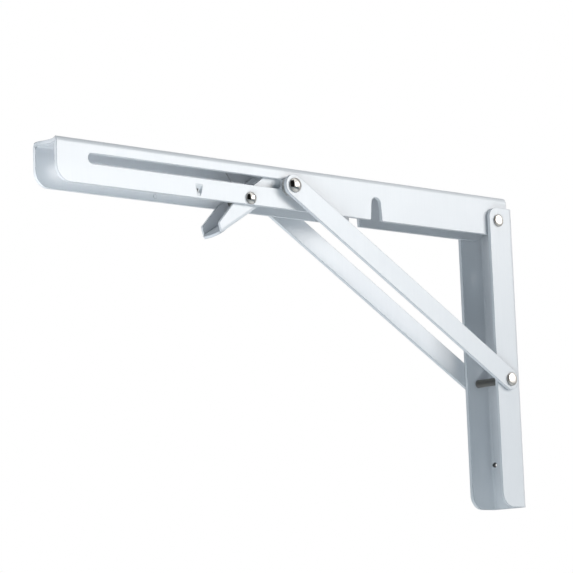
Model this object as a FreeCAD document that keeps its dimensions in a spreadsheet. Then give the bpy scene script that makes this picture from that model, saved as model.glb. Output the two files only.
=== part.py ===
"""Folding table bracket: a wall leg, a table rail hinged to it, a pair of strut bars and a release lever.

Lengths are in millimetres. X runs across the bracket, the wall is the plane Y = 0, the rail stands out
towards -Y and Z is up. The origin is on the wall, on the centre line, level with the main hinge.
"""
import FreeCAD, Part
import math
import os

import Sketcher

Vector = FreeCAD.Vector
Rotation = FreeCAD.Rotation

ALONG_X = Vector(1, 0, 0)
ALONG_Y = Vector(0, 1, 0)
ALONG_Z = Vector(0, 0, 1)

# Driving sizes, each written once

SIZES = {
    # folded sheet of the leg and the rail
    "sheet": 2.0,
    "leg_bend": 3.2,
    "rail_bend": 3.0,
    # wall leg
    "leg_wide": 25.0,
    "leg_deep": 18.3,
    "leg_above": 7.1,
    "leg_below": 156.3,
    "leg_top_round": 5.5,
    "leg_foot_round": 8.0,
    # table rail
    "reach": 300.0,
    "rail_high": 21.8,
    "rail_above": 14.0,
    "nose_round": 7.8,
    "nose_dish": 3.3,
    "dish_inset": 1.0,
    "end_play": 0.3,
    "heel_relief": 0.4,
    # main hinge
    "hinge_out": 12.0,
    "hinge_gap": 0.7,
    "hinge_shank": 4.8,
    "hinge_head": 6.7,
    "hinge_dome": 1.5,
    "washer_wide": 9.0,
    # slot and the slide bushes in it
    "slot_high": 5.2,
    "slot_above": 4.7,
    "slot_margin": 17.8,
    "slide_at": 147.1,
    "slide_above": 3.75,
    "collar_wide": 9.4,
    # strut bars and their pins
    "strut_wide": 11.2,
    "strut_thick": 2.0,
    "strut_off": 0.2,
    "strut_out": 10.1,
    "strut_down": 87.5,
    "strut_shank": 4.2,
    "strut_head": 7.2,
    "strut_dome": 1.7,
    "slide_shank": 4.2,
    "slide_head": 7.6,
    "slide_dome": 2.5,
    # shape of every formed head, as shares of its radius and height
    "crown_wide": 0.48,
    "rim_high": 0.3,
    # notch that drops over the lower strut pin
    "notch_deep": 12.2,
    "notch_wide": 6.6,
    "notch_mouth": 8.2,
    # release lever
    "lever_sheet": 1.4,
    "lever_bend": 1.9,
    "lever_beyond": 25.0,
    "lever_low": 4.6,
    "lever_lean": 32.8,
    "lever_web": 6.6,
    "shoulder_at": 6.2,
    "shoulder_wall": 3.9,
    "waist_at": 10.0,
    "waist_wall": 2.2,
    "taper_at": 8.0,
    "nose_low": 4.1,
    "nose_wall": 4.6,
    "nose_slope": 2.6,
    "nose_flat": 3.0,
    "nose_hook": 8.5,
    "handle_out": 24.5,
    "handle_wall": 5.2,
    "tongue": 3.2,
    "tongue_round": 5.0,
    "lever_shank": 4.0,
    "lever_head": 6.4,
    "lever_dome": 2.3,
    # lever spring
    "wire": 0.9,
    "wire_sides": 6,
    "coil_gap": 0.55,
    "coil_turns": 2.0,
    "coil_pitch": 1.15,
    "spring_rise": 55.0,
    "spring_dip": 5.6,
    "spring_arm": 16.5,
    # screw holes
    "leg_hole": 5.2,
    "leg_hole_top": 26.0,
    "leg_hole_step": 51.0,
    "set_hole": 2.6,
    "set_hole_off": 8.8,
    "set_hole_down": 131.9,
    "rail_hole": 5.0,
    "rail_hole_first": 38.0,
    "rail_hole_step": 80.0,
    "rail_hole_margin": 19.0,
    "rail_hole_close": 56.0,
    # pressed tab in the right rail wall and small dimple in the left one
    "tab_wide": 4.4,
    "tab_foot": 2.6,
    "tab_high": 5.6,
    "tab_deep": 1.3,
    "tab_nub": 0.6,
    "tab_beyond": 32.4,
    "tab_low": 3.8,
    "dimple_wide": 2.4,
    "dimple_deep": 0.6,
    "dimple_nub": 0.3,
    "dimple_beyond": 46.3,
    "dimple_low": 5.4,
    # running clearances
    "pin_play": 0.05,
    "side_play": 0.05,
    "lever_play": 0.3,
    "bush_gap": 0.3,
    "hook_gap": 0.3,
    "rest_gap": 0.1,
}

doc = FreeCAD.newDocument("bracket")
sheet = doc.addObject("Spreadsheet::Sheet", "Sizes")
for row, (word, number) in enumerate(SIZES.items(), start=1):
    sheet.set(f"A{row}", word)
    sheet.set(f"B{row}", str(number))
    sheet.setAlias(f"B{row}", word)
doc.recompute()


class Size:
    """A number together with the formula that gives it from the sheet.

    Shapes start at the number and stay bound to the formula.
    """

    def __init__(self, value, text):
        self.value = float(value)
        self.text = text

    def __add__(self, other):
        other = size(other)
        return Size(self.value + other.value, f"({self.text} + {other.text})")

    def __sub__(self, other):
        other = size(other)
        return Size(self.value - other.value, f"({self.text} - {other.text})")

    def __mul__(self, other):
        other = size(other)
        return Size(self.value * other.value, f"({self.text} * {other.text})")

    def __truediv__(self, other):
        other = size(other)
        return Size(self.value / other.value, f"({self.text} / {other.text})")

    def __rsub__(self, other):
        return size(other) - self

    def __neg__(self):
        return Size(-self.value, f"(-1 * {self.text})")


def size(number):
    """A Size made of a plain number, or the Size itself."""
    if isinstance(number, Size):
        return number
    return Size(number, f"({number})")


def of(word):
    """The Size of one cell of the sheet."""
    return Size(SIZES[word], f"Sizes.{word}")


def root(a):
    """Square root."""
    return Size(math.sqrt(a.value), f"sqrt({a.text})")


def sine(a):
    """Sine of an angle in degrees."""
    return Size(math.sin(math.radians(a.value)), f"sin({a.text})")


def cosine(a):
    """Cosine of an angle in degrees."""
    return Size(math.cos(math.radians(a.value)), f"cos({a.text})")


def angle(rise, run):
    """Angle in degrees whose tangent is rise over run, for a positive run."""
    return Size(math.degrees(math.atan2(rise.value, run.value)), f"(atan({rise.text} / {run.text}) / 1deg)")


ZERO = size(0)

# Places that several pieces share

half_leg = of("leg_wide") / 2
leg_inside = half_leg - of("sheet")
half_rail = leg_inside - of("hinge_gap")
rail_inside = half_rail - of("sheet")
rail_below = of("rail_high") - of("rail_above")
rail_tail = of("hinge_out") - of("sheet") - of("end_play")
rail_tip = of("reach") - of("hinge_out")
slot_end = rail_tip - of("slot_margin")
strut_in = half_leg + of("strut_off")
journal = of("slot_high") / 2 - of("pin_play")

# The upper pivot seen from the lower strut pin, and the pin seen from the hinge
pin_drop = of("strut_down")
pin_shift = of("hinge_out") - of("strut_out")
strut_run = of("slide_at") + pin_shift
strut_climb = pin_drop + of("slide_above")
strut_long = root(strut_run * strut_run + strut_climb * strut_climb)
strut_lean = angle(strut_climb, strut_run)

# The slide's journal seen from the lever pivot
lever_out = of("slide_at") + of("lever_beyond")
hook_run = of("lever_beyond")
hook_climb = of("slot_above") + of("lever_low")
hook_reach = root(hook_run * hook_run + hook_climb * hook_climb)
hook_radius = hook_reach - journal - of("hook_gap")
hook_angle = angle(hook_climb, hook_run)
lever_half = rail_inside - of("lever_play")

# Helpers that add one feature to a body


def bind(thing, path, amount):
    """Tie one property to its formula."""
    thing.setExpression(path, amount.text)


def new_body(name, y=ZERO, z=ZERO, turn=ZERO):
    """A body set at its pivot (y, z) and turned about X."""
    body = doc.addObject("PartDesign::Body", name)
    body.Label = name
    body.Placement = FreeCAD.Placement(Vector(0, y.value, z.value), Rotation(Vector(1, 0, 0), turn.value))
    bind(body, "Placement.Base.y", y)
    bind(body, "Placement.Base.z", z)
    if turn is not ZERO:
        bind(body, "Placement.Rotation.Angle", turn)
    return body


def new_sketch(body, role, name, lift=ZERO, turn=None):
    """A sketch on one origin plane of the body, lifted along the plane's normal."""
    sketch = body.newObject("Sketcher::SketchObject", name)
    planes = [item for item in body.Origin.OriginFeatures if item.Role == role]
    sketch.AttachmentSupport = [(planes[0], "")]
    sketch.MapMode = "FlatFace"
    spin = Rotation() if turn is None else Rotation(Vector(1, 0, 0), turn.value)
    sketch.AttachmentOffset = FreeCAD.Placement(Vector(0, 0, lift.value), spin)
    if lift is not ZERO:
        bind(sketch, "AttachmentOffset.Base.z", lift)
    if turn is not None:
        bind(sketch, "AttachmentOffset.Rotation.Angle", turn)
    return sketch


def pin_point(sketch, item, end, x, y):
    """Hold one point of a sketch at (x, y)."""
    for kind, amount in (("DistanceX", x), ("DistanceY", y)):
        number = sketch.addConstraint(Sketcher.Constraint(kind, -1, 1, item, end, amount.value))
        bind(sketch, f"Constraints[{number}]", amount)


def draw_outline(sketch, corners):
    """A closed outline of straight edges through the corners."""
    count = len(corners)
    first = sketch.GeometryCount
    for k, (x, y) in enumerate(corners):
        x2, y2 = corners[(k + 1) % count]
        sketch.addGeometry(
            Part.LineSegment(Vector(x.value, y.value, 0), Vector(x2.value, y2.value, 0)), False)
    for k, (x, y) in enumerate(corners):
        sketch.addConstraint(
            Sketcher.Constraint("Coincident", first + k, 2, first + (k + 1) % count, 1))
        pin_point(sketch, first + k, 1, x, y)


def draw_circle(sketch, x, y, radius):
    """A circle at (x, y)."""
    item = sketch.addGeometry(
        Part.Circle(Vector(x.value, y.value, 0), Vector(0, 0, 1), radius.value), False)
    pin_point(sketch, item, 3, x, y)
    number = sketch.addConstraint(Sketcher.Constraint("Radius", item, radius.value))
    bind(sketch, f"Constraints[{number}]", radius)


def draw_long_hole(sketch, x0, x1, y, radius):
    """An outline with two round ends of one radius, centred on (x0, y) and (x1, y), with x0 < x1."""
    up = Vector(0, 0, 1)
    left = Vector(x0.value, y.value, 0)
    right = Vector(x1.value, y.value, 0)
    rise = Vector(0, radius.value, 0)
    top = sketch.addGeometry(Part.LineSegment(right + rise, left + rise), False)
    end0 = sketch.addGeometry(
        Part.ArcOfCircle(Part.Circle(left, up, radius.value), math.pi / 2, 3 * math.pi / 2), False)
    low = sketch.addGeometry(Part.LineSegment(left - rise, right - rise), False)
    end1 = sketch.addGeometry(
        Part.ArcOfCircle(Part.Circle(right, up, radius.value), -math.pi / 2, math.pi / 2), False)
    for one, two in ((top, end0), (end0, low), (low, end1), (end1, top)):
        sketch.addConstraint(Sketcher.Constraint("Tangent", one, 2, two, 1))
    pin_point(sketch, end0, 3, x0, y)
    pin_point(sketch, end1, 3, x1, y)
    number = sketch.addConstraint(Sketcher.Constraint("Radius", end0, radius.value))
    bind(sketch, f"Constraints[{number}]", radius)


def extrude(body, sketch, name, length, both=False, back=False):
    """Material along the sketch's normal, half to each side when both is set."""
    pad = body.newObject("PartDesign::Pad", name)
    pad.Profile = sketch
    pad.Length = length.value
    bind(pad, "Length", length)
    if both:
        pad.SideType = "Symmetric"
    pad.Reversed = back
    doc.recompute()
    return pad


def cut(body, sketch, name, depth=None, both=False):
    """Take material away below the sketch, or right through on both sides when no depth is given.

    With both set, half the depth goes to each side of the sketch.
    """
    before = body.Shape.Volume
    pocket = body.newObject("PartDesign::Pocket", name)
    pocket.Profile = sketch
    if depth is None:
        pocket.SideType = "Symmetric"
        pocket.Type = "ThroughAll"
    else:
        pocket.Length = depth.value
        bind(pocket, "Length", depth)
        if both:
            pocket.SideType = "Symmetric"
    doc.recompute()
    if not body.Shape.Volume < before:
        raise RuntimeError(f"{name} removed nothing")
    return pocket


def near(a, b):
    """True when two lengths are the same."""
    return abs(a - b) < 1e-4


def edges_where(feature, along, test):
    """Names of the straight edges of a feature that run along one axis and whose ends pass the test."""
    names = []
    for number, edge in enumerate(feature.Shape.Edges, start=1):
        ends = [vertex.Point for vertex in edge.Vertexes]
        if edge.Curve.TypeId != "Part::GeomLine" or len(ends) != 2:
            continue
        way = (ends[1] - ends[0]).normalize()
        if near(abs(way.dot(along)), 1) and all(test(p) for p in ends):
            names.append(f"Edge{number}")
    return names


def round_edges(body, feature, name, along, test, radius):
    """Round the straight edges that run along one axis and pass the test."""
    fillet = body.newObject("PartDesign::Fillet", name)
    fillet.Base = (feature, edges_where(feature, along, test))
    fillet.Radius = radius.value
    bind(fillet, "Radius", radius)
    doc.recompute()
    return fillet


def revolve(body, sketch, name):
    """Turn a profile about the body's own X axis."""
    axis = [item for item in body.Origin.OriginFeatures if item.Role == "X_Axis"][0]
    solid = body.newObject("PartDesign::Revolution", name)
    solid.Profile = sketch
    solid.ReferenceAxis = (axis, [""])
    solid.Angle = 360
    doc.recompute()
    return solid


def channel(body, role, name, across, inner, height, lift, length):
    """A folded U section: web at 0, walls of the given height on the far side, extruded by length.

    The section is drawn with its web on the first axis; height may be negative to fold the other way.
    """
    way = 1 if height.value > 0 else -1
    thick = of("sheet") * way
    sketch = new_sketch(body, role, name + "_section", lift)
    draw_outline(sketch, [
        (-across, ZERO), (across, ZERO), (across, height), (inner, height),
        (inner, thick), (-inner, thick), (-inner, height), (-across, height)])
    return extrude(body, sketch, name, length)


# Wall leg: a channel with its web on the wall


def wall_leg():
    body = new_body("wall_leg")
    deep = -of("leg_deep")
    long = of("leg_above") + of("leg_below")
    base = channel(body, "XY_Plane", "leg_fold", half_leg, leg_inside, deep, -of("leg_below"), long)
    outer = round_edges(
        body, base, "leg_outer_bends", ALONG_Z,
        lambda p: near(abs(p.x), half_leg.value) and near(p.y, 0), of("leg_bend"))
    inner = round_edges(
        body, outer, "leg_inner_bends", ALONG_Z,
        lambda p: near(abs(p.x), leg_inside.value) and near(p.y, -SIZES["sheet"]),
        of("leg_bend") - of("sheet"))
    top = round_edges(
        body, inner, "leg_top_corners", ALONG_X,
        lambda p: near(p.y, deep.value) and near(p.z, SIZES["leg_above"]), of("leg_top_round"))
    round_edges(
        body, top, "leg_foot_corners", ALONG_X,
        lambda p: near(p.y, deep.value) and near(p.z, -SIZES["leg_below"]), of("leg_foot_round"))

    # Bearing holes of the main hinge and the lower strut pin, through both flanges
    holes = new_sketch(body, "YZ_Plane", "leg_pin_places")
    draw_circle(holes, -of("hinge_out"), ZERO, of("hinge_shank") / 2 + of("pin_play"))
    draw_circle(holes, -of("strut_out"), -pin_drop, of("strut_shank") / 2 + of("pin_play"))
    cut(body, holes, "leg_pin_holes")

    # Screw holes down the middle of the web, and a small setting hole beside the lowest
    screws = new_sketch(body, "XZ_Plane", "leg_screw_places")
    for k in range(3):
        down = of("leg_hole_top") + of("leg_hole_step") * k
        draw_circle(screws, ZERO, -down, of("leg_hole") / 2)
    draw_circle(screws, -of("set_hole_off"), -of("set_hole_down"), of("set_hole") / 2)
    cut(body, screws, "leg_screw_holes")
    return body


# Table rail: a channel with its web up against the table, set at the main hinge


def table_rail():
    body = new_body("table_rail", -of("hinge_out"))
    long = rail_tail + rail_tip
    section = new_sketch(body, "XZ_Plane", "rail_section", -rail_tail)
    top = of("rail_above")
    under = top - of("sheet")
    low = -rail_below
    draw_outline(section, [
        (-half_rail, low), (-rail_inside, low), (-rail_inside, under), (rail_inside, under),
        (rail_inside, low), (half_rail, low), (half_rail, top), (-half_rail, top)])
    base = extrude(body, section, "rail_fold", long)
    outer = round_edges(
        body, base, "rail_outer_bends", ALONG_Y,
        lambda p: near(abs(p.x), half_rail.value) and near(p.z, top.value), of("rail_bend"))
    inner = round_edges(
        body, outer, "rail_inner_bends", ALONG_Y,
        lambda p: near(abs(p.x), rail_inside.value) and near(p.z, under.value),
        of("rail_bend") - of("sheet"))
    nose = round_edges(
        body, inner, "rail_nose_corners", ALONG_X,
        lambda p: near(p.y, -rail_tip.value) and near(p.z, low.value), of("nose_round"))

    # The heel swings close past the leg's web, so its corner is rounded about the hinge
    round_edges(
        body, nose, "rail_heel_corners", ALONG_X,
        lambda p: near(p.y, rail_tail.value) and near(p.z, low.value), rail_below - of("heel_relief"))

    # The web's outer end is dished back between the walls
    chord = half_rail - of("dish_inset")
    dish = (chord * chord + of("nose_dish") * of("nose_dish")) / (of("nose_dish") * 2)
    end = new_sketch(body, "XY_Plane", "rail_end_dish_place", top)
    draw_circle(end, ZERO, -(rail_tip - of("nose_dish") + dish), dish)
    cut(body, end, "rail_end_dish", of("rail_bend"))

    # Slot for the slide bushes, from the rest position out
    slot = new_sketch(body, "YZ_Plane", "rail_slot_place")
    half_slot = of("slot_high") / 2
    draw_long_hole(
        slot, -(slot_end - half_slot), -(of("slide_at") - of("pin_play")),
        of("slot_above"), half_slot)
    cut(body, slot, "rail_slot")

    # Notch: straight tapered sides up to a round top
    notch = new_sketch(body, "YZ_Plane", "rail_notch_place")
    crown = of("notch_wide") / 2
    shoulder = low + of("notch_deep") - crown
    draw_outline(notch, [
        (-(pin_drop - of("notch_mouth") / 2), low - of("sheet")),
        (-(pin_drop - crown), shoulder),
        (-(pin_drop + crown), shoulder),
        (-(pin_drop + of("notch_mouth") / 2), low - of("sheet"))])
    cut(body, notch, "rail_notch")
    arch = new_sketch(body, "YZ_Plane", "rail_notch_top_place")
    draw_circle(arch, -pin_drop, shoulder, crown)
    cut(body, arch, "rail_notch_top")

    # Bearing holes of the hinge and the lever pivot, through both walls
    holes = new_sketch(body, "YZ_Plane", "rail_pin_places")
    draw_circle(holes, ZERO, ZERO, of("hinge_shank") / 2 + of("pin_play"))
    draw_circle(holes, -lever_out, -of("lever_low"), of("lever_shank") / 2 + of("pin_play"))
    cut(body, holes, "rail_pin_holes")

    # Table screw holes through the web, in two pairs either side of the lever
    screws = new_sketch(body, "XY_Plane", "rail_screw_places", top)
    first = of("rail_hole_first")
    last = rail_tip - of("rail_hole_margin")
    for out in (first, first + of("rail_hole_step"), last - of("rail_hole_close"), last):
        draw_circle(screws, ZERO, -out, of("rail_hole") / 2)
    cut(body, screws, "rail_screw_holes", of("sheet"))

    pressed_tab(body)
    dimple(body)
    return body


def tab_corners(inset):
    """Corners of the pressed tab, drawn in by the inset: a flat wide top and a narrow blunt foot."""
    out = lever_out + of("tab_beyond")
    top = of("tab_high") / 2 - of("tab_low") - inset
    foot = -(of("tab_high") / 2 + of("tab_low")) + inset
    wide = of("tab_wide") / 2 - inset
    narrow = of("tab_foot") / 2 - inset
    return [
        (-(out + wide), top), (-(out + narrow), foot + narrow), (-(out + narrow / 2), foot),
        (-(out - narrow / 2), foot), (-(out - narrow), foot + narrow), (-(out - wide), top)]


def pressed_tab(body):
    """A tab pressed into the right wall from outside; what it pushes out stands on the inner face."""
    nub = new_sketch(body, "YZ_Plane", "tab_nub_place", rail_inside)
    draw_outline(nub, tab_corners(of("tab_nub") / 2))
    extrude(body, nub, "tab_nub", of("tab_nub"), back=True)
    cup = new_sketch(body, "YZ_Plane", "tab_cup_place", half_rail)
    draw_outline(cup, tab_corners(ZERO))
    cut(body, cup, "tab_cup", of("tab_deep"))


def dimple(body):
    """A small round dimple pressed into the left wall from outside, with its nub inside."""
    out = lever_out + of("dimple_beyond")
    radius = of("dimple_wide") / 2
    nub = new_sketch(body, "YZ_Plane", "dimple_nub_place", -rail_inside)
    draw_circle(nub, -out, -of("dimple_low"), radius - of("dimple_nub") / 2)
    extrude(body, nub, "dimple_nub", of("dimple_nub"))
    cup = new_sketch(body, "YZ_Plane", "dimple_cup_place", -(half_rail - of("dimple_deep")))
    draw_circle(cup, -out, -of("dimple_low"), radius)
    cut(body, cup, "dimple_cup", of("dimple_deep"))


# Strut bars: flat bars with round ends outside the leg and the rail


def strut_bar(name, side):
    body = new_body(name, -of("strut_out"), -pin_drop, -strut_lean)
    inside = strut_in if side > 0 else -(strut_in + of("strut_thick"))
    outline = new_sketch(body, "YZ_Plane", name + "_outline", inside)
    draw_long_hole(outline, -strut_long, ZERO, ZERO, of("strut_wide") / 2)
    draw_circle(outline, ZERO, ZERO, of("strut_shank") / 2 + of("pin_play"))
    draw_circle(outline, -strut_long, ZERO, of("slide_shank") / 2 + of("pin_play"))
    extrude(body, outline, name + "_bar", of("strut_thick"))
    return body


# Rivets: a plain shank with a formed head at each end


def head_corners(face, way, shank, head, high):
    """Corners of one formed head, from its tip on the axis out to the shank: a crown, a cone and a rim."""
    tip = face + high * way
    rim = face + high * of("rim_high") * way
    return [(tip, ZERO), (tip, head * of("crown_wide")), (rim, head), (face, head), (face, shank)]


def rivet(name, y, z, grip, shank, head, high):
    """A long rivet across the bracket with a head on each side at plus and minus grip."""
    body = new_body(name, y, z)
    sketch = new_sketch(body, "XY_Plane", name + "_profile")
    right = head_corners(grip, 1, shank, head, high)
    left = head_corners(-grip, -1, shank, head, high)
    draw_outline(sketch, left + right[::-1])
    revolve(body, sketch, name + "_solid")
    return body


def short_rivet(name, side):
    """The upper strut rivet: a head outside the bar and a shank that ends flush inside it."""
    body = new_body(name, -(of("hinge_out") + of("slide_at")), of("slide_above"))
    shank = of("slide_shank") / 2
    face = (strut_in + of("strut_thick")) * side
    end = strut_in * side
    sketch = new_sketch(body, "XY_Plane", name + "_profile")
    head = head_corners(face, side, shank, of("slide_head") / 2, of("slide_dome"))
    draw_outline(sketch, head + [(end, shank), (end, ZERO)])
    revolve(body, sketch, name + "_solid")
    return body


# Hinge washers fill the gap between each flange and the rail


def hinge_washer(name, side):
    body = new_body(name, -of("hinge_out"))
    inner = half_rail + of("side_play")
    outer = leg_inside - of("side_play")
    ring = new_sketch(body, "YZ_Plane", name + "_ring", inner if side > 0 else -outer)
    draw_circle(ring, ZERO, ZERO, of("washer_wide") / 2)
    draw_circle(ring, ZERO, ZERO, of("hinge_shank") / 2 + of("pin_play"))
    extrude(body, ring, name + "_solid", outer - inner)
    return body


# Slide bushes: a collar on the upper pivot's axis, with its journal set a little higher, on the slot's line


def slide_bush(name, side):
    body = new_body(name, -(of("hinge_out") + of("slide_at")), of("slide_above"))
    wall = half_rail + of("side_play")
    outer = strut_in - of("bush_gap")
    collar = new_sketch(body, "YZ_Plane", name + "_collar_place", wall if side > 0 else -outer)
    draw_circle(collar, ZERO, ZERO, of("collar_wide") / 2)
    extrude(body, collar, name + "_collar", outer - wall)
    in_slot = new_sketch(body, "YZ_Plane", name + "_journal_place", rail_inside if side > 0 else -wall)
    draw_circle(in_slot, ZERO, of("slot_above") - of("slide_above"), journal)
    extrude(body, in_slot, name + "_journal", wall - rail_inside)
    return body


# Release lever: a small folded channel on its own pivot inside the rail, hooked in front of the slide


def release_lever():
    """Drawn in its own frame: Y runs along the lever to the hook and Z away from its web."""
    body = new_body(
        "release_lever", -(of("hinge_out") + lever_out), -of("lever_low"), of("lever_lean"))
    web = -of("lever_web")
    web_in = web + of("lever_sheet")
    hook_low = root(hook_radius * hook_radius - of("nose_low") * of("nose_low"))
    hook_turn = hook_angle - of("lever_lean") + of("nose_hook")
    hook_tip = (hook_radius * cosine(hook_turn), hook_radius * sine(hook_turn))
    nose_end = hook_tip[0] - of("nose_slope")
    tail_top = web + of("handle_wall")
    back = -of("handle_out")
    profile = new_sketch(body, "YZ_Plane", "lever_profile")
    draw_outline(profile, [
        (back, web),
        (of("taper_at"), web),
        (hook_low, -of("nose_low")),
        hook_tip,
        (nose_end, of("nose_wall")),
        (nose_end - of("nose_flat"), of("nose_wall")),
        (of("shoulder_at"), of("shoulder_wall")),
        (-of("waist_at"), of("waist_wall")),
        (back + of("lever_sheet"), tail_top)])
    base = extrude(body, profile, "lever_block", lever_half * 2, both=True)
    bends = round_edges(
        body, base, "lever_outer_bends", ALONG_Y,
        lambda p: near(abs(p.x), lever_half.value) and near(p.z, web.value), of("lever_bend"))
    inside = new_sketch(body, "XZ_Plane", "lever_inside_place")
    hollow = lever_half - of("lever_sheet")
    lever_top = hook_radius
    draw_outline(inside, [
        (-hollow, web_in), (hollow, web_in), (hollow, lever_top), (-hollow, lever_top)])
    cut(body, inside, "lever_inside")

    # The web stops short of the hook, whose two walls run on alone and taper upward
    short = new_sketch(body, "YZ_Plane", "lever_web_end_place")
    draw_outline(short, [
        (of("taper_at"), web - of("lever_sheet")), (hook_radius, web - of("lever_sheet")),
        (hook_radius, ZERO), (of("taper_at"), ZERO)])
    cut(body, short, "lever_web_end", hollow * 2, both=True)

    # The web runs on past the walls as a rounded tongue for the finger
    grow = of("tongue")
    flat = lever_half - of("lever_bend") / 2
    tongue = new_sketch(body, "XY_Plane", "lever_tongue_place", web)
    draw_outline(tongue, [
        (-flat, back - grow), (flat, back - grow), (flat, back + grow), (-flat, back + grow)])
    block = extrude(body, tongue, "lever_tongue_block", of("lever_sheet"))
    tip = round_edges(
        body, block, "lever_tongue_corners", ALONG_Z,
        lambda p: near(abs(p.x), flat.value) and near(p.y, (back - grow).value), of("tongue_round"))

    # The handle's and the hook's corners are eased
    handle = round_edges(
        body, tip, "lever_handle_corners", ALONG_X,
        lambda p: near(p.z, tail_top.value) and near(p.y, (back + of("lever_sheet")).value),
        of("lever_sheet"))
    round_edges(
        body, handle, "lever_hook_corners", ALONG_X,
        lambda p: near(p.z, SIZES["nose_wall"]) and near(p.y, nose_end.value), of("lever_sheet"))

    pivot = new_sketch(body, "YZ_Plane", "lever_pivot_place")
    draw_circle(pivot, ZERO, ZERO, of("lever_shank") / 2 + of("pin_play"))
    cut(body, pivot, "lever_pivot_hole")
    return body


# Lever spring: a coil round the lever pivot with one arm under the rail's web and one along the handle


def draw_wire(sketch, x, y, radius):
    """The wire's section, drawn with few flat sides to keep the coil light."""
    corners = []
    for k in range(SIZES["wire_sides"]):
        turn = size(k + 0.5) * 360 / of("wire_sides")
        corners.append((x + radius * cosine(turn), y + radius * sine(turn)))
    draw_outline(sketch, corners)


def lever_spring():
    lean = of("spring_rise")
    body = new_body(
        "lever_spring", -(of("hinge_out") + lever_out), -of("lever_low"), 90 - lean)
    wire = of("wire") / 2
    coil = of("lever_shank") / 2 + of("coil_gap") + wire
    sweep = 180 - lean - of("lever_lean") - of("spring_dip")
    turns = of("coil_turns") + sweep / 360
    start = -(of("coil_pitch") * turns) / 2

    profile = new_sketch(body, "XY_Plane", "spring_wire")
    draw_wire(profile, start, coil, wire)
    axis = [item for item in body.Origin.OriginFeatures if item.Role == "X_Axis"][0]
    helix = body.newObject("PartDesign::AdditiveHelix", "spring_coil")
    helix.Profile = profile
    helix.ReferenceAxis = (axis, [""])
    helix.Mode = "pitch-turns-angle"
    helix.Pitch = of("coil_pitch").value
    helix.Turns = turns.value
    bind(helix, "Pitch", of("coil_pitch"))
    bind(helix, "Turns", turns)
    helix.LeftHanded = True
    doc.recompute()

    # The upper arm stops just below the web: coil * cos + arm * sin reaches from the pivot to the web
    room = of("rail_above") - of("sheet") + of("lever_low") - of("rest_gap") - wire
    upper = (room - coil * cosine(lean)) / sine(lean)
    rest = new_sketch(body, "XY_Plane", "spring_rest_place")
    draw_wire(rest, start, coil, wire)
    extrude(body, rest, "spring_rest_arm", upper)

    arm = new_sketch(body, "XY_Plane", "spring_arm_place", turn=-sweep)
    draw_wire(arm, -start, coil, wire)
    extrude(body, arm, "spring_handle_arm", of("spring_arm"), back=True)
    return body


pieces = [
    wall_leg(),
    table_rail(),
    hinge_washer("hinge_washer_right", 1),
    hinge_washer("hinge_washer_left", -1),
    rivet(
        "hinge_pin", -of("hinge_out"), ZERO, half_leg,
        of("hinge_shank") / 2, of("hinge_head") / 2, of("hinge_dome")),
    strut_bar("strut_bar_right", 1),
    strut_bar("strut_bar_left", -1),
    rivet(
        "strut_pin", -of("strut_out"), -pin_drop, strut_in + of("strut_thick"),
        of("strut_shank") / 2, of("strut_head") / 2, of("strut_dome")),
    short_rivet("slide_rivet_right", 1),
    short_rivet("slide_rivet_left", -1),
    slide_bush("slide_bush_right", 1),
    slide_bush("slide_bush_left", -1),
    release_lever(),
    rivet(
        "lever_pin", -(of("hinge_out") + lever_out), -of("lever_low"), half_rail,
        of("lever_shank") / 2, of("lever_head") / 2, of("lever_dome")),
    lever_spring(),
]

# Check every object, then write one file per piece

doc.recompute()
for item in doc.Objects:
    if "Invalid" in item.State or "Error" in item.State:
        raise RuntimeError(f"{item.Name} failed: {item.State}")
os.makedirs("parts", exist_ok=True)
for piece in pieces:
    if piece.Shape.isNull() or not piece.Shape.isValid() or len(piece.Shape.Solids) != 1:
        raise RuntimeError(f"{piece.Label} is not one sound solid")
for piece in pieces:
    piece.Shape.exportStep(f"parts/{piece.Label}.step")
    box = piece.Shape.BoundBox
    spans = f"y {box.YMin:.1f}..{box.YMax:.1f}, z {box.ZMin:.1f}..{box.ZMax:.1f}"
    print(f"{piece.Label}: volume {piece.Shape.Volume:.1f}, {spans}")
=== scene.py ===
# %% [markdown]
# # A folding table bracket in white coated steel
#
# The bracket is a wall leg, a table rail, two strut bars and a small release lever, all folded or cut
# from sheet steel, powder coated white and joined with bright nickel rivets. The CAD model already
# holds every piece at its real size, so this script does three things: it stands a camera and soft
# lamps round the part, it gives the rivets and the spring the smooth forms that a light CAD mesh
# leaves out, and it builds the finishes from nodes.

# %% Load the CAD model as the fixed frame
import math

import bpy
import numpy as np
from mathutils import Matrix, Vector


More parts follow.
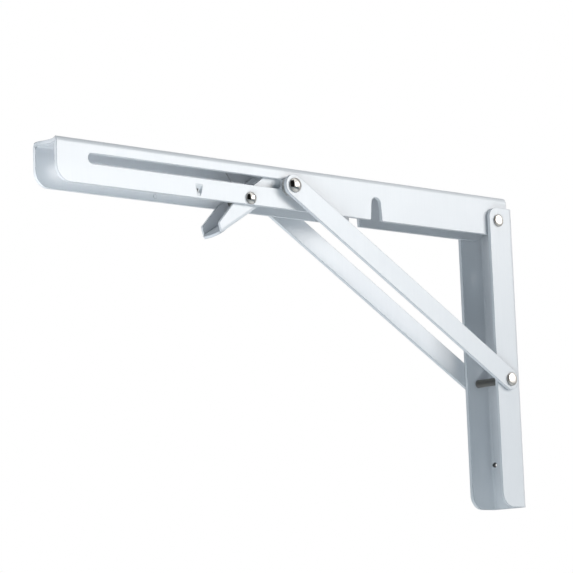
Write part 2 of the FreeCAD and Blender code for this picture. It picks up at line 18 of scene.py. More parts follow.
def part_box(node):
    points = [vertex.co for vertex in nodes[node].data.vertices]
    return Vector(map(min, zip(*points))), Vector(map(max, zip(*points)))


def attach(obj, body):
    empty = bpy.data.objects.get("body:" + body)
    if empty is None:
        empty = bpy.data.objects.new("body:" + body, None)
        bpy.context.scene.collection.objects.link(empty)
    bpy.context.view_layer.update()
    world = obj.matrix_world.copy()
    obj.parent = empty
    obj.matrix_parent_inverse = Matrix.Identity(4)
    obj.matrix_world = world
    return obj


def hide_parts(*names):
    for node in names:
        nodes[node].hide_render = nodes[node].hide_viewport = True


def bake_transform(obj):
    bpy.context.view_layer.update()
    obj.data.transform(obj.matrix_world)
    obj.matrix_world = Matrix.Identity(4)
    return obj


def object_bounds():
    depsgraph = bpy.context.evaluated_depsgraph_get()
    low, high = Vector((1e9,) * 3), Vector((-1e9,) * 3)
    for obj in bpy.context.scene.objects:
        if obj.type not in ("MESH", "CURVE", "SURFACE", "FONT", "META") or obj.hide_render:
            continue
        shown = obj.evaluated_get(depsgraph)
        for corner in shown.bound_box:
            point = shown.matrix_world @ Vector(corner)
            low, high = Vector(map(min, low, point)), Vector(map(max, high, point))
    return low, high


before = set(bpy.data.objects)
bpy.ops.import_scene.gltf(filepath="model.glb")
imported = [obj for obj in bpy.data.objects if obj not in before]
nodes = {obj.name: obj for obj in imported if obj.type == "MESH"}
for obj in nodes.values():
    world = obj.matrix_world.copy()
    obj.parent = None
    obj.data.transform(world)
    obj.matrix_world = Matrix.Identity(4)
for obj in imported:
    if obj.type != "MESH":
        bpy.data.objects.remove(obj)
cad_low, cad_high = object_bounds()
MM = 0.001
print("nodes:", ", ".join(sorted(nodes)))
print("box in mm:", [round(c / MM, 1) for c in cad_low], [round(c / MM, 1) for c in cad_high])

# %% [markdown]
# ## The camera
#
# A product picture of a bracket is taken with a long lens, so that the two sides of a channel stay
# nearly parallel. The camera stands to the right of the part and a little below it, looks slightly
# up, and leans by two degrees. The place where it looks is on the part's centre plane.

# %% Set the camera
VIEW_AZIMUTH = math.radians(49.79)
VIEW_ELEVATION = math.radians(-9.09)
VIEW_LEAN = math.radians(-2.01)
VIEW_AIM = Vector((0, -154.9, -44.9)) * MM
VIEW_AWAY = 1112.7 * MM
SENSOR = 36.0
LENS = 137.87
SHIFT = (0.0009, -0.0023)


def camera_matrix(azimuth, elevation, lean, aim, away):
    """The camera's axes: forward points at the aim, right is forward x up, both then turned by lean."""
    back = Vector((
        math.sin(azimuth) * math.cos(elevation),
        -math.cos(azimuth) * math.cos(elevation),
        math.sin(elevation)))
    level = (-back).cross(Vector((0, 0, 1))).normalized()
    upright = level.cross(-back)
    right = level * math.cos(lean) + upright * math.sin(lean)
    up = upright * math.cos(lean) - level * math.sin(lean)
    place = aim + back * away
    return Matrix((
        (right.x, up.x, back.x, place.x),
        (right.y, up.y, back.y, place.y),
        (right.z, up.z, back.z, place.z),
        (0, 0, 0, 1)))


def add_object(name, data):
    """A new object at the origin, linked to the scene."""
    made = bpy.data.objects.new(name, data)
    bpy.context.scene.collection.objects.link(made)
    return made


lens = bpy.data.cameras.new("picture_camera")
lens.sensor_width = SENSOR
lens.lens = LENS
lens.shift_x, lens.shift_y = SHIFT
camera = add_object("picture_camera", lens)
camera.matrix_world = camera_matrix(VIEW_AZIMUTH, VIEW_ELEVATION, VIEW_LEAN, VIEW_AIM, VIEW_AWAY)
bpy.context.scene.camera = camera
print("camera at", [round(c, 3) for c in camera.matrix_world.translation])

# %% [markdown]
# ## The studio
#
# White steel shows its shape only through soft shades, so the light is plain. A soft lamp at the side
# lights the outer sides, and a narrow, warmer one next to it adds the gloss towards the rail's outer
# end; the metal mirrors only these two. A small lamp at the front lights the cut edges, a near one and
# a low one fill the insides of the channels, and two more, at the left and above, light the sides that
# the picture doesn't show. A dim, slightly blue surround does the rest. It is white to the camera,
# which gives the plain background without more light on the part. Two bent screens, which only mirrors
# see, stand round the part: a dark one behind the camera and round the front, and a grey one at the
# back. Polished domes need something dark to mirror, or they look like plastic.

# %% Build the surround
AMBIENT = (0.40, 0.76, 1.00, 1)
WHITE = (1, 1, 1, 1)
AMBIENT_LEVEL = 0.14


def math_node(tree, operation, first, second=None, clamp=False):
    """A Math node; first and second are sockets or plain numbers."""
    node = tree.nodes.new("ShaderNodeMath")
    node.operation = operation
    node.use_clamp = clamp
    for place, value in enumerate([first, second]):
        if isinstance(value, bpy.types.NodeSocket):
            tree.links.new(value, node.inputs[place])
        elif value is not None:
            node.inputs[place].default_value = value
    return node.outputs[0]


def build_world():
    """White for camera, glossy and transmission rays, and the pale blue ambient for all other light."""
    world = bpy.data.worlds.new("studio")
    bpy.context.scene.world = world
    world.use_nodes = True
    tree = world.node_tree
    tree.nodes.clear()
    path = tree.nodes.new("ShaderNodeLightPath")
    seen = math_node(
        tree, "ADD", path.outputs["Is Camera Ray"], path.outputs["Is Glossy Ray"], clamp=True)
    seen = math_node(tree, "ADD", seen, path.outputs["Is Transmission Ray"], clamp=True)
    soft = tree.nodes.new("ShaderNodeBackground")
    soft.inputs["Color"].default_value = AMBIENT
    soft.inputs["Strength"].default_value = AMBIENT_LEVEL
    bright = tree.nodes.new("ShaderNodeBackground")
    bright.inputs["Color"].default_value = WHITE
    mix = tree.nodes.new("ShaderNodeMixShader")
    out = tree.nodes.new("ShaderNodeOutputWorld")
    tree.links.new(seen, mix.inputs[0])
    tree.links.new(soft.outputs[0], mix.inputs[1])
    tree.links.new(bright.outputs[0], mix.inputs[2])
    tree.links.new(mix.outputs[0], out.inputs["Surface"])
    return world


build_world()
bpy.context.scene.view_settings.view_transform = "Standard"
print("surround: white to the camera, ambient level", AMBIENT_LEVEL)


# %% Lay a floor that is seen from above only
FLOOR_DROP = 450 * MM
FLOOR_SIZE = 3.0
FLOOR_WHITE = (0.9, 0.9, 0.9, 1)
FLOOR_ROUGH = 0.9
FLOOR_PALE = (0.93, 0.935, 0.94, 1)
PALE_SHARE = 0.85


def grid_faces(rows, columns):
    """Quads between neighbouring points of a rows x columns grid, as one whole array."""
    first = np.arange((rows - 1) * columns).reshape(rows - 1, columns)[:, :-1].ravel()
    return np.stack([first, first + 1, first + columns + 1, first + columns], axis=1)


def new_mesh(name, points, faces):
    """A mesh from an array of points and an array or list of faces."""
    mesh = bpy.data.meshes.new(name)
    mesh.from_pydata(np.asarray(points).tolist(), [], [list(face) for face in faces])
    mesh.update()
    return mesh


def floor_material():
    """Matt near-white, kept pale to the camera, with nothing to see from underneath."""
    made = bpy.data.materials.new("floor_white")
    made.use_nodes = True
    tree = made.node_tree
    shader = tree.nodes["Principled BSDF"]
    shader.inputs["Base Color"].default_value = FLOOR_WHITE
    shader.inputs["Roughness"].default_value = FLOOR_ROUGH
    pale = tree.nodes.new("ShaderNodeEmission")
    pale.inputs["Color"].default_value = FLOOR_PALE
    path = tree.nodes.new("ShaderNodeLightPath")
    lit = tree.nodes.new("ShaderNodeMixShader")
    share = math_node(tree, "MULTIPLY", path.outputs["Is Camera Ray"], PALE_SHARE)
    tree.links.new(share, lit.inputs[0])
    tree.links.new(shader.outputs[0], lit.inputs[1])
    tree.links.new(pale.outputs[0], lit.inputs[2])
    side = tree.nodes.new("ShaderNodeNewGeometry")
    clear = tree.nodes.new("ShaderNodeBsdfTransparent")
    mix = tree.nodes.new("ShaderNodeMixShader")
    tree.links.new(side.outputs["Backfacing"], mix.inputs[0])
    tree.links.new(lit.outputs[0], mix.inputs[1])
    tree.links.new(clear.outputs[0], mix.inputs[2])
    tree.links.new(mix.outputs[0], tree.nodes["Material Output"].inputs["Surface"])
    return made


u, v = np.meshgrid(np.linspace(-1, 1, 2), np.linspace(-1, 1, 2))
floor_points = np.stack(
    [u.ravel() * FLOOR_SIZE, v.ravel() * FLOOR_SIZE, np.full(4, cad_low.z - FLOOR_DROP)], axis=1)
floor = add_object("floor", new_mesh("floor", floor_points, grid_faces(2, 2)))
floor.data.materials.append(floor_material())
print("floor at", round(cad_low.z - FLOOR_DROP, 3), "m")

# %% Hang the soft lamps
LAMPS = {
    # name: azimuth, elevation in degrees, distance in metres, width, height, watts, colour
    "side_softbox": (129, 18, 1.1, 0.45, 0.45, 4.7, (0.99, 0.985, 0.98)),
    "gloss_softbox": (113, 14, 1.1, 0.25, 0.5, 3.5, (1.0, 0.92, 0.84)),
    "front_softbox": (-21, 5, 0.29, 0.12, 0.12, 0.30, (1.0, 1.0, 1.0)),
    "near_softbox": (20, -24, 0.32, 0.14, 0.14, 0.32, (0.97, 0.99, 1.0)),
    "low_softbox": (60, -42, 0.53, 0.3, 0.3, 0.9, (0.84, 0.95, 1.0)),
    "left_softbox": (-128, 14, 1.1, 0.6, 0.6, 8.0, (1.0, 1.0, 1.0)),
    "top_softbox": (95, 72, 1.1, 0.5, 0.5, 2.6, (1.0, 1.0, 1.0)),
}
MIRRORED = ["side_softbox", "gloss_softbox"]

for name, (azimuth, elevation, away, wide, high, watts, colour) in LAMPS.items():
    light = bpy.data.lights.new(name, "AREA")
    light.shape = "RECTANGLE"
    light.size, light.size_y = wide, high
    light.energy = watts
    light.color = colour
    lamp = add_object(name, light)
    lamp.matrix_world = camera_matrix(
        math.radians(azimuth), math.radians(elevation), 0, VIEW_AIM, away)
    lamp.visible_camera = False
    lamp.visible_glossy = name in MIRRORED
    print(name, "at", [round(c, 2) for c in lamp.matrix_world.translation], watts, "W")

# %% Stand the bent screens that polished metal mirrors
SCREENS = {
    # name: first and last azimuth in degrees, shade of the cloth
    "dark_screen": (-85, 90, 0.01),
    "grey_screen": (148, 270, 0.45),
}
SCREEN_AWAY = 1.6
SCREEN_RISE = (-62, 70)
SCREEN_COLUMNS, SCREEN_ROWS = 40, 24


def screen_points(first, last):
    """A bent sheet round the aim: x = R sin a cos e, y = -R cos a cos e, z = R sin e, from a and e."""
    turn, rise = np.meshgrid(
        np.radians(np.linspace(first, last, SCREEN_COLUMNS)),
        np.radians(np.linspace(*SCREEN_RISE, SCREEN_ROWS)))
    points = np.stack(
        [np.sin(turn) * np.cos(rise), -np.cos(turn) * np.cos(rise), np.sin(rise)], axis=2)
    return points.reshape(-1, 3) * SCREEN_AWAY + np.array(VIEW_AIM)


def cloth(name, shade):
    """One even shade that only mirrors see."""
    made = bpy.data.materials.new(name)
    made.use_nodes = True
    tree = made.node_tree
    glow = tree.nodes.new("ShaderNodeEmission")
    glow.inputs["Color"].default_value = (shade, shade, shade, 1)
    tree.links.new(glow.outputs[0], tree.nodes["Material Output"].inputs["Surface"])
    return made


for name, (first, last, shade) in SCREENS.items():
    sheet = new_mesh(name, screen_points(first, last), grid_faces(SCREEN_ROWS, SCREEN_COLUMNS))
    screen = add_object(name, sheet)
    screen.data.materials.append(cloth(name, shade))
    screen.visible_camera = False
    screen.visible_diffuse = False
    screen.visible_shadow = False
    screen.visible_transmission = False
    print(name, "from", first, "to", last, "degrees")

# %% [markdown]
# ## Rivets
#
# A rivet is set with a spinning tool that spreads its end into a smooth dome. The CAD heads are plain
# cones, which keeps them light, so each rivet gets a turned surface in the same place: a profile of
# radius against length is carried round the pin's axis. A Screw modifier on a curve could do it too,
# but worked out as two small arrays the profile stays a formula, and its foot can be marked for a
# painted shade line where the head meets the sheet.

# %% Work out the profile of a domed head
HEAD_POINTS = 18
RING_POINTS = 72
FOOT_ROUND = 0.22  # height of the rim in mm
# The plain shank gets painted shade as well, as a share of the foot's.
SHANK_SHADE = 0.85  # how much of the foot's dark the plain shank shows
FLUSH = 0.5  # an end that stands out less than this, in mm, has no head


def dome(radius, height, foot, square):
    """Half an outline of a head, from its foot to its tip: (height, radius) pairs.

    A short bulging rim and then a crown: the angle t runs from 0 at the foot to 90 degrees at the
    tip, radius = R cos(t)^p and height = foot + (H - foot) sin(t)^p with p = 2 / square. That is a
    quarter of an ellipse for square = 2, and flatter in the middle for more.
    """
    t = np.linspace(0, math.pi / 2, HEAD_POINTS)
    power = 2 / square
    rise = np.sin(t) ** power
    crown = np.stack([foot + (height - foot) * rise, radius * np.abs(np.cos(t)) ** power], axis=1)
    base = np.array([[0, radius - foot / 2]])
    return np.concatenate([base, crown])


def lathe(name, along, radius, centre, foot_shade_mark):
    """A surface turned about X: x = along, y = cy + r cos(a), z = cz + r sin(a), closed at both tips."""
    angle = np.linspace(0, 2 * math.pi, RING_POINTS, endpoint=False)
    rings_x = np.repeat(along[1:-1, None], RING_POINTS, axis=1)
    rings_y = centre[0] + radius[1:-1, None] * np.cos(angle)[None, :]
    rings_z = centre[1] + radius[1:-1, None] * np.sin(angle)[None, :]
    rings = np.stack([rings_x, rings_y, rings_z], axis=2).reshape(-1, 3)
    tips = np.array([[along[0], *centre], [along[-1], *centre]])
    points = np.concatenate([rings, tips]) * MM

    count = len(along) - 2
    step = np.arange(RING_POINTS)
    after = (step + 1) % RING_POINTS
    row = np.arange(count - 1)[:, None] * RING_POINTS
    quads = np.stack([row + step, row + after, row + RING_POINTS + after, row + RING_POINTS + step], axis=2)
    first_tip, last_tip = len(rings), len(rings) + 1
    last_row = (count - 1) * RING_POINTS
    start = np.stack([np.full(RING_POINTS, first_tip), after, step], axis=1)
    end = np.stack([np.full(RING_POINTS, last_tip), last_row + step, last_row + after], axis=1)
    faces = quads.reshape(-1, 4).tolist() + start.tolist() + end.tolist()
    mesh = new_mesh(name, points, faces)
    # The foot attribute holds the painted shade mark: strongest at the foot, nothing at the tip.
    marks = np.concatenate([np.repeat(foot_shade_mark[1:-1], RING_POINTS), foot_shade_mark[[0, -1]]])
    mesh.attributes.new("foot", "FLOAT", "POINT").data.foreach_set("value", marks.astype(np.float32))
    mesh.shade_smooth()
    return add_object(name, mesh)


print("a head of radius 1 and height 1:", np.round(dome(1, 1, FOOT_ROUND, 2.0)[::4], 2).tolist())


# %% Turn the five rivets
def box_mm(node):
    """A node's lowest and highest corner in millimetres."""
    low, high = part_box(node)
    return np.array(low) / MM, np.array(high) / MM


def head_end(face, tip, head, square):
    """One end of a rivet from its face outwards: a dome, or a plain flat end where no head stands."""
    if abs(tip - face) < FLUSH:
        return np.array([face]), np.array([0.0]), np.array([0.0])
    side = dome(head, abs(tip - face), FOOT_ROUND, square)
    place = face + side[:, 0] * np.sign(tip - face)
    # The third array is the painted shade mark, 1 at the foot and 0 at the tip.
    return place, side[:, 1], 1 - side[:, 0] / side[:, 0].max()


def rivet(name, node, faces, shank, square, body):
    """A rivet on the node's axis: one end, a plain shank between the two faces, the other end."""
    low, high = box_mm(node)
    centre = (low[1:] + high[1:]) / 2
    head = (high[1] - low[1]) / 2
    left = [part[::-1] for part in head_end(faces[0], low[0], head, square)]
    right = head_end(faces[1], high[0], head, square)
    # The shank takes painted shade where it sits in the holes.
    middle = (np.array(faces), np.full(2, shank), np.full(2, SHANK_SHADE))
    along, radius, mark = [np.concatenate(parts) for parts in zip(left, middle, right)]
    made = lathe(name, along, radius, centre, mark)
    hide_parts(node)
    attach(made, body)
    print(name, "head radius", round(head, 2), "centre", np.round(centre, 1).tolist())
    return made


leg_out = box_mm("wall_leg")[1][0]
rail_out = box_mm("table_rail")[1][0]
bar_in, bar_out = box_mm("strut_bar_right")[0][0], box_mm("strut_bar_right")[1][0]
HINGE_SHANK, STRUT_SHANK, LEVER_SHANK = 2.4, 2.1, 2.0  # radii in mm
LOW_HEAD, HIGH_HEAD = 3.2, 2.0  # how square the outline is: a button, and a quarter of an ellipse
rivets = [
    rivet("hinge_rivet", "hinge_pin", (-leg_out, leg_out), HINGE_SHANK, LOW_HEAD, "leg"),
    rivet("strut_rivet", "strut_pin", (-bar_out, bar_out), STRUT_SHANK, LOW_HEAD, "strut"),
    rivet("lever_rivet", "lever_pin", (-rail_out, rail_out), LEVER_SHANK, HIGH_HEAD, "rail"),
    rivet("upper_rivet_right", "slide_rivet_right", (bar_in, bar_out), STRUT_SHANK, HIGH_HEAD, "strut"),
    rivet("upper_rivet_left", "slide_rivet_left", (-bar_out, -bar_in), STRUT_SHANK, HIGH_HEAD, "strut"),
]

# %% [markdown]
# ## The lever's spring
#
# The CAD spring is swept from a six sided wire. A round wire shows a fine line of light along its top,
# so the same path is swept again: an arm, a left-handed coil round the lever's rivet and a second arm.

# %% Sweep the spring along its path
WIRE_RADIUS = 0.44
COIL_RADIUS = 3.0
COIL_PITCH = 1.15
COIL_TURNS = 2
SWEEP = math.radians(86.6)
SPRING_TURN = math.radians(35.0)
REST_ARM, HANDLE_ARM = 17.45, 16.45
WIRE_SIDES = 12
COIL_STEPS = 68


def spring_path():
    """Centre line and outward normals: (x, R cos a, R sin a) with a from 0 to -(2 pi n + sweep).

    The arms leave the coil along its tangents: up from a = 0, and along (-sin s, -cos s) at its end.
    """
    angle = -np.linspace(0, 2 * math.pi * COIL_TURNS + SWEEP, COIL_STEPS)
    climb = -angle * COIL_PITCH / (2 * math.pi)
    climb = climb - climb[-1] / 2
    out = np.stack([np.zeros(len(angle)), np.cos(angle), np.sin(angle)], axis=1)
    coil = out * COIL_RADIUS
    coil[:, 0] = climb
    first = coil[0] + np.array([0, 0, REST_ARM])
    last = coil[-1] + HANDLE_ARM * np.array([0, -math.sin(SWEEP), -math.cos(SWEEP)])
    return np.vstack([first, coil, last]), np.vstack([out[0], out, out[-1]])


def tube(path, normal, radius):
    """Rings round a path: point = centre + r (N cos b + B sin b) with B = T x N, T the tangent."""
    tangent = np.gradient(path, axis=0)
    tangent /= np.linalg.norm(tangent, axis=1)[:, None]
    across = np.cross(tangent, normal)
    around = np.linspace(0, 2 * math.pi, WIRE_SIDES + 1)
    ring = normal[:, None] * np.cos(around)[None, :, None] + across[:, None] * np.sin(around)[None, :, None]
    return path[:, None] + radius * ring


def turn_about_x(points, angle):
    """y' = y cos a - z sin a, z' = y sin a + z cos a."""
    turned = points.copy()
    turned[..., 1] = points[..., 1] * math.cos(angle) - points[..., 2] * math.sin(angle)
    turned[..., 2] = points[..., 1] * math.sin(angle) + points[..., 2] * math.cos(angle)
    return turned


path, normal = spring_path()
rings = turn_about_x(tube(path, normal, WIRE_RADIUS), SPRING_TURN)
pin_low, pin_high = box_mm("lever_pin")
pin_centre = np.array([0, *((pin_low + pin_high)[1:] / 2)])
rings = rings + pin_centre
count = len(path)
ends = [list(range(WIRE_SIDES)), [(count - 1) * (WIRE_SIDES + 1) + i for i in range(WIRE_SIDES)][::-1]]
sides = grid_faces(count, WIRE_SIDES + 1).tolist()
wire_mesh = new_mesh("lever_spring_wire", rings.reshape(-1, 3) * MM, sides + ends)
wire_mesh.shade_smooth()
spring = add_object("lever_spring_wire", wire_mesh)
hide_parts("lever_spring")
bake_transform(spring)
spring_box = [np.round(rings.min((0, 1)), 1).tolist(), np.round(rings.max((0, 1)), 1).tolist()]
print("spring:", count, "rings, box in mm", spring_box)

# %% [markdown]
# ## The pressed tab
#
# Near the slot the press has pushed a small tab into the right wall. The CAD cup has a flat floor; the
# real mark slopes in from its flat top, is deepest in the middle, and rises again at its foot. So a small
# sheet lies over the cup's floor: its depth is worked out on a grid, and a second attribute holds where
# a painted shade darkens its deepest part nearly to black.

# %% Shape the tab as a height field
TAB_BEYOND = 32.4  # outwards from the lever's rivet, mm
TAB_LOW = 3.8
TAB_HIGH = 5.6
TAB_HALF_TOP, TAB_HALF_FOOT = 2.2, 1.3
TAB_DEEP = 1.26
TAB_GRID = 33
TAB_GAP, TAB_SINK = 0.02, 0.01  # clear of the cup's walls, and below the rail's face, mm
FOOT_TAPER = 0.5
# Where the depth and the painted shade begin and end, as shares of the height and of the half width.
SLOPE_IN, SLOPE_OUT, OUT_SHARE = (0.0, 0.50), (0.60, 0.80), 0.72
SIDE_OUTER, SIDE_INNER = (-1.02, -0.35), (-1.0, -0.80)
TAB_SHADE_TOP, TAB_SHADE_FOOT = (0.30, 0.40), (-0.68, -0.60)
TAB_SHADE_OUTER, TAB_SHADE_INNER = (-0.95, -0.75), (-0.3, 0.0)


def ease(value, low, high):
    """Smooth step: 3 t^2 - 2 t^3 with t = (value - low) / (high - low), held between 0 and 1."""
    t = np.clip((value - low) / (high - low), 0, 1)
    return t * t * (3 - 2 * t)


across, down = np.meshgrid(np.linspace(-1, 1, TAB_GRID), np.linspace(0, 1, TAB_GRID))
neck = 1 - TAB_HALF_FOOT / TAB_HIGH
half = np.where(
    down < neck,
    TAB_HALF_TOP + (TAB_HALF_FOOT - TAB_HALF_TOP) * down / neck,
    TAB_HALF_FOOT * (1 - FOOT_TAPER * (down - neck) / (1 - neck)))
depth = ease(down, *SLOPE_IN) - OUT_SHARE * ease(down, *SLOPE_OUT)
depth = TAB_DEEP * depth * ease(across, *SIDE_OUTER) * ease(-across, *SIDE_INNER)
# Painted shade for the deep middle of the tab, where the cut opens.
tab_shade = ease(down, *TAB_SHADE_TOP) * ease(-down, *TAB_SHADE_FOOT)
tab_shade = tab_shade * ease(across, *TAB_SHADE_OUTER) * ease(-across, *TAB_SHADE_INNER)
tab_points = np.stack([
    rail_out - depth - TAB_SINK,
    pin_centre[1] - TAB_BEYOND + across * (half - TAB_GAP),
    TAB_HIGH / 2 - TAB_LOW - TAB_GAP - down * (TAB_HIGH - 2 * TAB_GAP)], axis=2)
tab_mesh = new_mesh("pressed_tab", tab_points.reshape(-1, 3) * MM, grid_faces(TAB_GRID, TAB_GRID))
tab_shade_values = tab_shade.ravel().astype(np.float32)
tab_mesh.attributes.new("tab_shade", "FLOAT", "POINT").data.foreach_set("value", tab_shade_values)
tab_mesh.shade_smooth()
tab = add_object("pressed_tab", tab_mesh)
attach(tab, "rail")
print("tab:", len(tab_mesh.polygons), "faces, deepest", round(float(depth.max()), 2), "mm")

# %% [markdown]
# ## Finishes
#
# Powder coat is a thick, even paint that is baked on. Close up it has a fine ripple, called orange
# peel, and its sharp edges are softly rounded, with painted shade greying the colour along them. One
# node group gives the material both what it needs there: a mask of the edges and a softly rounded normal.

# %% Build the node group for coated edges
BEVEL_SAMPLES = 6


def new_group(name, inputs, outputs):
    """An empty shader node group with named sockets: inputs hold (name, kind, value)."""
    group = bpy.data.node_groups.new(name, "ShaderNodeTree")
    for label, kind, value in inputs:
        made = group.interface.new_socket(label, in_out="INPUT", socket_type=kind)
        if value is not None:
            made.default_value = value
    for label, kind in outputs:
        group.interface.new_socket(label, in_out="OUTPUT", socket_type=kind)
    return group, group.nodes.new("NodeGroupInput"), group.nodes.new("NodeGroupOutput")


def noise(tree, vector, scale, detail, roughness=0.5):
    """A Noise Texture of that many features to a metre."""
    node = tree.nodes.new("ShaderNodeTexNoise")
    node.inputs["Scale"].default_value = scale
    node.inputs["Detail"].default_value = detail
    node.inputs["Roughness"].default_value = roughness
    tree.links.new(vector, node.inputs["Vector"])
    return node.outputs["Fac"]


def edge_group():
    """Edge = 1 - (rounded normal . true normal), stretched to run from 0 on a flat to 1 on an edge."""
    group, given, result = new_group(
        "soft_edges",
        [("Radius", "NodeSocketFloat", 0.0004), ("Reach", "NodeSocketFloat", 4.0)],
        [("Normal", "NodeSocketVector"), ("Edge", "NodeSocketFloat")])
    bevel = group.nodes.new("ShaderNodeBevel")
    bevel.samples = BEVEL_SAMPLES
    group.links.new(given.outputs["Radius"], bevel.inputs["Radius"])
    plain = group.nodes.new("ShaderNodeNewGeometry")
    dot = group.nodes.new("ShaderNodeVectorMath")
    dot.operation = "DOT_PRODUCT"
    group.links.new(bevel.outputs["Normal"], dot.inputs[0])
    group.links.new(plain.outputs["Normal"], dot.inputs[1])
    away = math_node(group, "SUBTRACT", 1.0, dot.outputs["Value"], clamp=True)
    edge = math_node(group, "MULTIPLY", away, given.outputs["Reach"], clamp=True)
    group.links.new(bevel.outputs["Normal"], result.inputs["Normal"])
    group.links.new(edge, result.inputs["Edge"])
    return group


soft_edges = edge_group()
print("group", soft_edges.name, "gives", [s.name for s in soft_edges.interface.items_tree])

# %% Mix the white powder coat
COAT_WHITE = (0.72, 0.735, 0.76, 1)
# Painted shade along the edges, for the thin dark line the light leaves on them.
COAT_EDGE_SHADE = (0.36, 0.39, 0.42, 1)
COAT_DULL = (0.62, 0.64, 0.67, 1)
# Painted shade, near black, for the deep middle of the tab and the setting hole's wall.
HOLLOW_SHADE = (0.035, 0.035, 0.037, 1)
COAT_ROUGH, COAT_ROUGH_SPREAD = 0.26, 0.12
COAT_SHINE = 0.5
EDGE_RADIUS, EDGE_REACH = 0.45 * MM, 5.0
CLOUD_SCALE = 22.0
LINE_SCALE, LINE_SHARE = 1000.0, 0.6
LINE_STRETCH = (0.1, 1.0, 0.05)
PEEL_SCALE, PEEL_STRENGTH, PEEL_DEEP = 1100.0, 0.25, 0.03 * MM
SETTING_HOLE = (-8.8, -131.9, 1.45)  # x, z and radius in mm


def mix_colour(tree, factor, first, second):
    """A Mix node on two colours, each a socket or a plain colour."""
    node = tree.nodes.new("ShaderNodeMix")
    node.data_type = "RGBA"
    links = [(factor, node.inputs[0]), (first, node.inputs[6]), (second, node.inputs[7])]
    for value, place in links:
        if isinstance(value, bpy.types.NodeSocket):
            tree.links.new(value, place)
        else:
            place.default_value = value
    return node.outputs[2]


def hole_shade_mask(tree, place):
    """One within the setting hole: |(p - c) * (1, 0, 1)| < r, so that its wall takes a painted shade."""
    offset = tree.nodes.new("ShaderNodeVectorMath")
    offset.operation = "SUBTRACT"
    offset.inputs[1].default_value = (SETTING_HOLE[0] * MM, 0, SETTING_HOLE[1] * MM)
    tree.links.new(place, offset.inputs[0])
    flat = tree.nodes.new("ShaderNodeVectorMath")
    flat.operation = "MULTIPLY"
    flat.inputs[1].default_value = (1, 0, 1)
    tree.links.new(offset.outputs[0], flat.inputs[0])
    length = tree.nodes.new("ShaderNodeVectorMath")
    length.operation = "LENGTH"
    tree.links.new(flat.outputs[0], length.inputs[0])
    return math_node(tree, "LESS_THAN", length.outputs["Value"], SETTING_HOLE[2] * MM)


def white_coat():
    """Satin powder coat: a little cloudy, faint draw lines, fine ripple, painted shade on the edges, in the
    tab and in the setting hole.
    """
    made = bpy.data.materials.new("white_coat")
    made.use_nodes = True
    tree = made.node_tree
    shader = tree.nodes["Principled BSDF"]
    place = tree.nodes.new("ShaderNodeTexCoord").outputs["Object"]
    edges = tree.nodes.new("ShaderNodeGroup")
    edges.node_tree = soft_edges
    edges.inputs["Radius"].default_value = EDGE_RADIUS
    edges.inputs["Reach"].default_value = EDGE_REACH
    clouds = noise(tree, place, CLOUD_SCALE, 3.0)
    cloudy = mix_colour(tree, clouds, COAT_DULL, COAT_WHITE)
    stretch = tree.nodes.new("ShaderNodeVectorMath")
    stretch.operation = "MULTIPLY"
    stretch.inputs[1].default_value = LINE_STRETCH
    tree.links.new(place, stretch.inputs[0])
    lines = noise(tree, stretch.outputs[0], LINE_SCALE, 2.0)
    lined = mix_colour(tree, math_node(tree, "MULTIPLY", lines, LINE_SHARE), cloudy, COAT_DULL)
    # Painted shade: the edge mask greys the colour along the edges.
    edge_shaded = mix_colour(tree, edges.outputs["Edge"], lined, COAT_EDGE_SHADE)
    # Painted shade: near black in the tab's deep middle and on the setting hole's wall.
    tab_shade = tree.nodes.new("ShaderNodeAttribute")
    tab_shade.attribute_name = "tab_shade"
    hollow_shade_mask = math_node(tree, "MAXIMUM", tab_shade.outputs["Fac"], hole_shade_mask(tree, place))
    colour = mix_colour(tree, hollow_shade_mask, edge_shaded, HOLLOW_SHADE)
    tree.links.new(colour, shader.inputs["Base Color"])
    peel = noise(tree, place, PEEL_SCALE, 2.0)
    bump = tree.nodes.new("ShaderNodeBump")
    bump.inputs["Strength"].default_value = PEEL_STRENGTH
    bump.inputs["Distance"].default_value = PEEL_DEEP
    tree.links.new(peel, bump.inputs["Height"])
    tree.links.new(edges.outputs["Normal"], bump.inputs["Normal"])
    tree.links.new(bump.outputs[0], shader.inputs["Normal"])
    rough = math_node(tree, "MULTIPLY_ADD", lines, COAT_ROUGH_SPREAD)
    rough.node.inputs[2].default_value = COAT_ROUGH
    tree.links.new(rough, shader.inputs["Roughness"])
    shader.inputs["Specular IOR Level"].default_value = COAT_SHINE
    return made


coat = white_coat()
COATED = ["wall_leg", "table_rail", "strut_bar_right", "strut_bar_left", "release_lever"]
for name in COATED:
    nodes[name].data.materials.clear()
    nodes[name].data.materials.append(coat)
tab.data.materials.append(coat)
print("coated:", COATED, "and the tab")

# %% [markdown]
# ## Nickel and spring steel
#
# Nickel plate is a warm, bright metal. The rivets are smooth on the crown, and a painted shade darkens
# them towards the foot, where the head meets the sheet. The high domes are polished and the low heads
# satin. The bushes and washers are the same metal, only duller, and the spring is drawn wire with fine
# streaks.

# %% Mix the nickel and the spring steel
NICKEL = (0.88, 0.85, 0.81, 1)
NICKEL_SATIN = (0.66, 0.63, 0.59, 1)
NICKEL_DULL = (0.68, 0.66, 0.63, 1)
# Painted shade at the rivets' foot, where the head meets the sheet.
NICKEL_FOOT_SHADE = (0.22, 0.20, 0.18, 1)
FOOT_POWER, FOOT_ROUGH = 3.0, 0.45
SPECK_SCALE = 900.0
STEEL_DARK, STEEL_LIGHT = (0.60, 0.61, 0.63, 1), (0.75, 0.76, 0.78, 1)
STREAK_SCALE = 2500.0
STEEL_ROUGH = 0.45


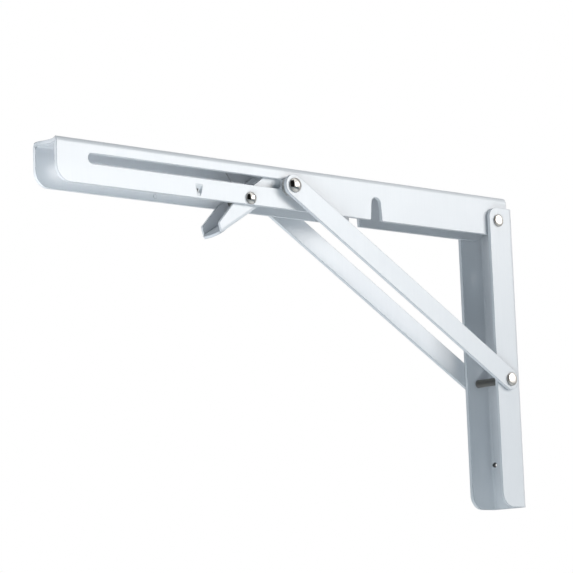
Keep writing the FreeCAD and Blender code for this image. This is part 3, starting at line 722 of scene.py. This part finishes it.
def nickel(name, colour, rough, spread):
    """Plate: darker by foot^3 as painted shade and rougher there, and roughness = rough + spread n with n
    the noise.
    """
    made = bpy.data.materials.new(name)
    made.use_nodes = True
    tree = made.node_tree
    shader = tree.nodes["Principled BSDF"]
    place = tree.nodes.new("ShaderNodeTexCoord").outputs["Object"]
    foot = tree.nodes.new("ShaderNodeAttribute")
    foot.attribute_name = "foot"
    # Painted shade: foot^3 darkens the colour towards the foot and also makes it rougher.
    foot_shade = math_node(tree, "POWER", foot.outputs["Fac"], FOOT_POWER)
    specks = noise(tree, place, SPECK_SCALE, 3.0)
    worn = mix_colour(tree, specks, colour, NICKEL_DULL)
    tree.links.new(mix_colour(tree, foot_shade, worn, NICKEL_FOOT_SHADE), shader.inputs["Base Color"])
    roughness = math_node(tree, "MULTIPLY_ADD", specks, spread)
    roughness.node.inputs[2].default_value = rough
    dull = math_node(tree, "MULTIPLY_ADD", foot_shade, FOOT_ROUGH)
    tree.links.new(roughness, dull.node.inputs[2])
    tree.links.new(dull, shader.inputs["Roughness"])
    shader.inputs["Metallic"].default_value = 1.0
    return made


SATIN_RIVETS = ["hinge_rivet", "strut_rivet"]
bright = nickel("nickel", NICKEL, 0.04, 0.06)
satin = nickel("satin_nickel", NICKEL_SATIN, 0.30, 0.10)
for item in rivets:
    item.data.materials.append(satin if item.name in SATIN_RIVETS else bright)
turned = nickel("turned_nickel", NICKEL_DULL, 0.30, 0.15)
for name in ["hinge_washer_right", "hinge_washer_left", "slide_bush_right", "slide_bush_left"]:
    nodes[name].data.materials.clear()
    nodes[name].data.materials.append(turned)


def spring_steel():
    """Drawn wire: dark bright steel with fine streaks."""
    made = bpy.data.materials.new("spring_steel")
    made.use_nodes = True
    tree = made.node_tree
    shader = tree.nodes["Principled BSDF"]
    place = tree.nodes.new("ShaderNodeTexCoord").outputs["Object"]
    streaks = noise(tree, place, STREAK_SCALE, 2.0)
    colour = mix_colour(tree, streaks, STEEL_DARK, STEEL_LIGHT)
    tree.links.new(colour, shader.inputs["Base Color"])
    shader.inputs["Roughness"].default_value = STEEL_ROUGH
    shader.inputs["Metallic"].default_value = 1.0
    return made


spring.data.materials.append(spring_steel())
print("spring and rivets finished")
